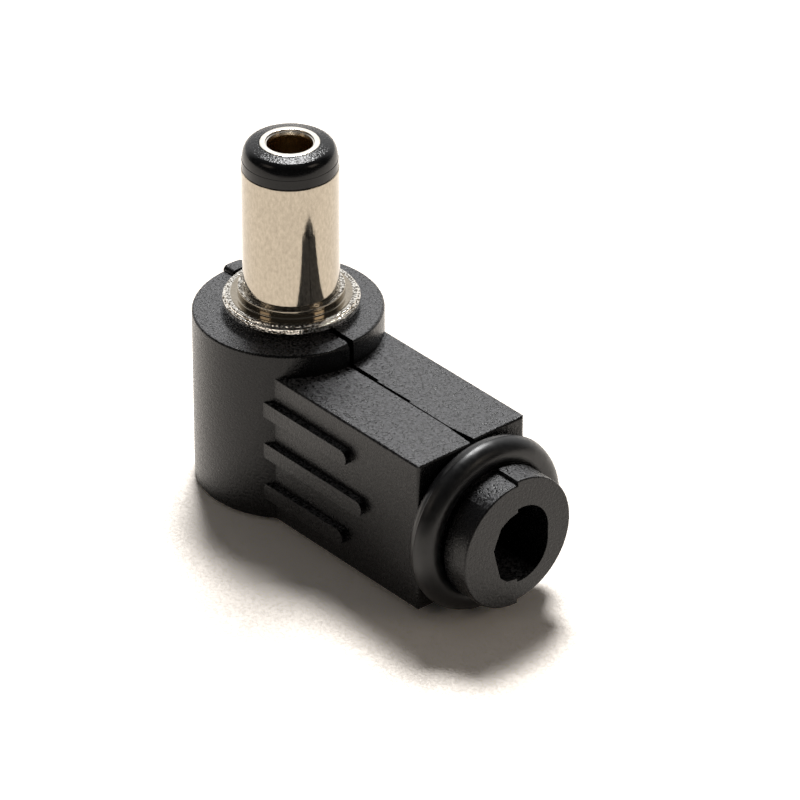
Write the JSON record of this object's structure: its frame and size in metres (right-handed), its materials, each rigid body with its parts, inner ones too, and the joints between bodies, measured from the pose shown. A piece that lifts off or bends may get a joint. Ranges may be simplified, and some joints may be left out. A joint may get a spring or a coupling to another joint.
{
  "type": "dc barrel plug",
  "caption": "Right-angle DC power plug: plated barrel with a pin socket, two-part moulded shell held shut by an O-ring, cable hole at the arm's end.",
  "frame": {"origin": "where the barrel's axis meets the plane of the shell's flat base", "axes": "+Z along the barrel towards its tip, +X along the cable arm towards the cable hole, the shell halves part on the plane Y = 0"},
  "size_m": [0.0251, 0.0108, 0.0223],
  "materials": {
    "shell": "fine spark-eroded grain",
    "ring": "satin",
    "nickel": "bright nickel plate over turned brass",
    "insulator": "gloss",
    "contact": "plated, bright at the rim",
    "washer": "pressed fibre",
    "terminal": "tinned strip"
  },
  "bodies": {
    "root": {"shell_near_half": "shell", "shell_far_half": "shell", "retaining_ring": "ring", "sleeve_contact": "nickel", "tip_insulator": "insulator", "centre_contact": "contact", "rear_washer": "washer", "sleeve_terminal": "terminal", "centre_terminal": "terminal"}
  },
  "joints": []
}
